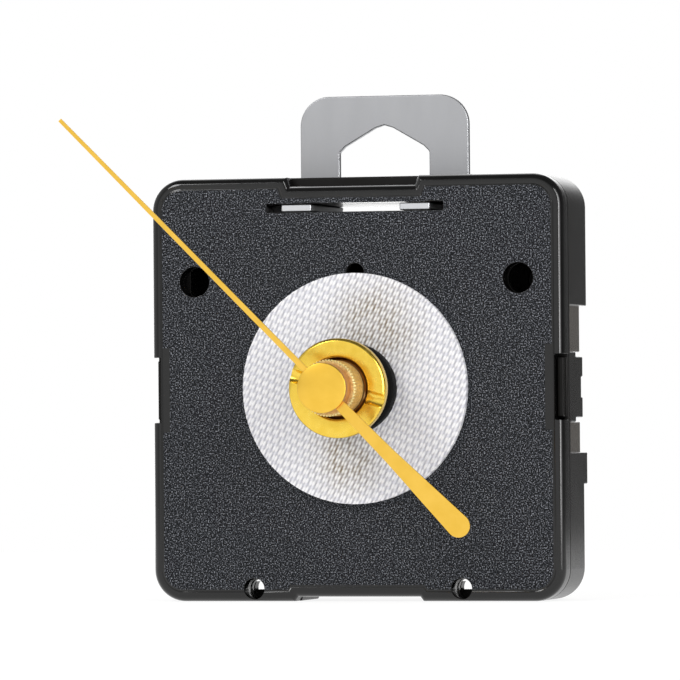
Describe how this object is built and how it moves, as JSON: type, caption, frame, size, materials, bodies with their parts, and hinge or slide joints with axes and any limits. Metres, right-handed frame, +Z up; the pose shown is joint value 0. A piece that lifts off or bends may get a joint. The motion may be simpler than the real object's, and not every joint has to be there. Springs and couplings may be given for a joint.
{
  "type": "quartz clock movement",
  "caption": "Square battery clock movement with a threaded centre shaft, brass nut, woven washer, steel wall hanger, second hand and working gear train.",
  "frame": {"origin": "the shaft's axis at the face of the front panel", "axes": "-Y out of the dial side along the shaft, +Z up towards the hanger, +X to the right seen from the dial side"},
  "size_m": [0.0635, 0.0348, 0.0674],
  "materials": {
    "cover_black": "fine grained moulded ABS panel with a polished rim",
    "shell_black": "satin moulded ABS",
    "brass": "turned brass, satin",
    "train_brass": "stamped brass",
    "hand_gold": "satin gold lacquer on aluminium sheet",
    "woven_white": "coarse plain weave",
    "rubber_black": "cut rubber sheet",
    "hanger_steel": "satin zinc-plated sheet",
    "inner_white": "natural acetal",
    "soft_iron": "annealed nickel iron",
    "copper_wire": "enamelled copper wire",
    "board_green": "glass epoxy with solder mask",
    "crystal_can": "drawn metal can",
    "chip_black": "epoxy drop",
    "contact_nickel": "nickel-plated spring strip",
    "magnet_grey": "sintered magnet",
    "cell_jacket": "plain printed steel jacket"
  },
  "bodies": {
    "case": {"front_cover": "cover_black", "rear_shell": "shell_black", "threaded_neck": "brass", "centre_nut": "brass", "dial_washer": "woven_white", "rubber_ring": "rubber_black", "hanger": "hanger_steel", "train_bridge": "inner_white", "stator": "soft_iron", "coil_core": "soft_iron", "coil_bobbin": "inner_white", "coil_winding": "copper_wire", "circuit_board": "board_green", "quartz_crystal": "crystal_can", "timing_chip": "chip_black", "positive_contact": "contact_nickel", "negative_contact": "contact_nickel"},
    "seconds": {"second_hand": "hand_gold", "hand_cap": "hand_gold", "seconds_wheel": "train_brass"},
    "centre": {"centre_wheel": "train_brass"},
    "minutes": {"minute_nut": "brass", "minute_pipe": "train_brass"},
    "hours": {"hour_wheel": "train_brass"},
    "third": {"third_wheel": "train_brass"},
    "intermediate": {"intermediate_wheel": "inner_white"},
    "rotor": {"rotor_pinion": "inner_white", "rotor_magnet": "magnet_grey"},
    "motion_work": {"motion_wheel": "inner_white"},
    "knob": {"setting_knob": "shell_black"},
    "cell": {"battery": "cell_jacket"}
  },
  "joints": [
    {"name": "second_spin", "type": "hinge", "parent": "case", "child": "seconds", "pos_m": [0, 0, 0], "axis": [0, 1, 0], "continuous": true},
    {"name": "third_spin", "type": "hinge", "parent": "case", "child": "third", "pos_m": [0.0036, 0, 0.00624], "axis": [0, 1, 0], "continuous": true},
    {"name": "intermediate_spin", "type": "hinge", "parent": "case", "child": "intermediate", "pos_m": [0.00677, 0, -0.00246], "axis": [0, 1, 0], "continuous": true},
    {"name": "rotor_spin", "type": "hinge", "parent": "case", "child": "rotor", "pos_m": [0.01203, 0, -0.00055], "axis": [0, 1, 0], "continuous": true},
    {"name": "centre_spin", "type": "hinge", "parent": "case", "child": "centre", "pos_m": [0, 0, 0], "axis": [0, 1, 0], "continuous": true},
    {"name": "minute_spin", "type": "hinge", "parent": "case", "child": "minutes", "pos_m": [0, 0, 0], "axis": [0, 1, 0], "continuous": true},
    {"name": "hour_spin", "type": "hinge", "parent": "case", "child": "hours", "pos_m": [0, 0, 0], "axis": [0, 1, 0], "continuous": true},
    {"name": "motion_spin", "type": "hinge", "parent": "case", "child": "motion_work", "pos_m": [-0.00564, 0, -0.00205], "axis": [0, 1, 0], "continuous": true},
    {"name": "knob_spin", "type": "hinge", "parent": "case", "child": "knob", "pos_m": [-0.01239, 0, -0.00205], "axis": [0, 1, 0], "continuous": true},
    {"name": "battery_slide", "type": "slide", "parent": "case", "child": "cell", "axis": [0, 1, 0], "range_m": [0, 0.018]}
  ],
  "couplings": [
    {"joint": "intermediate_spin", "follows": "second_spin", "ratio": -5},
    {"joint": "rotor_spin", "follows": "second_spin", "ratio": 30},
    {"joint": "third_spin", "follows": "second_spin", "ratio": -0.125},
    {"joint": "centre_spin", "follows": "second_spin", "ratio": 0.016667},
    {"joint": "motion_spin", "follows": "minute_spin", "ratio": -0.33333},
    {"joint": "hour_spin", "follows": "minute_spin", "ratio": 0.083333},
    {"joint": "knob_spin", "follows": "minute_spin", "ratio": 0.66667}
  ]
}
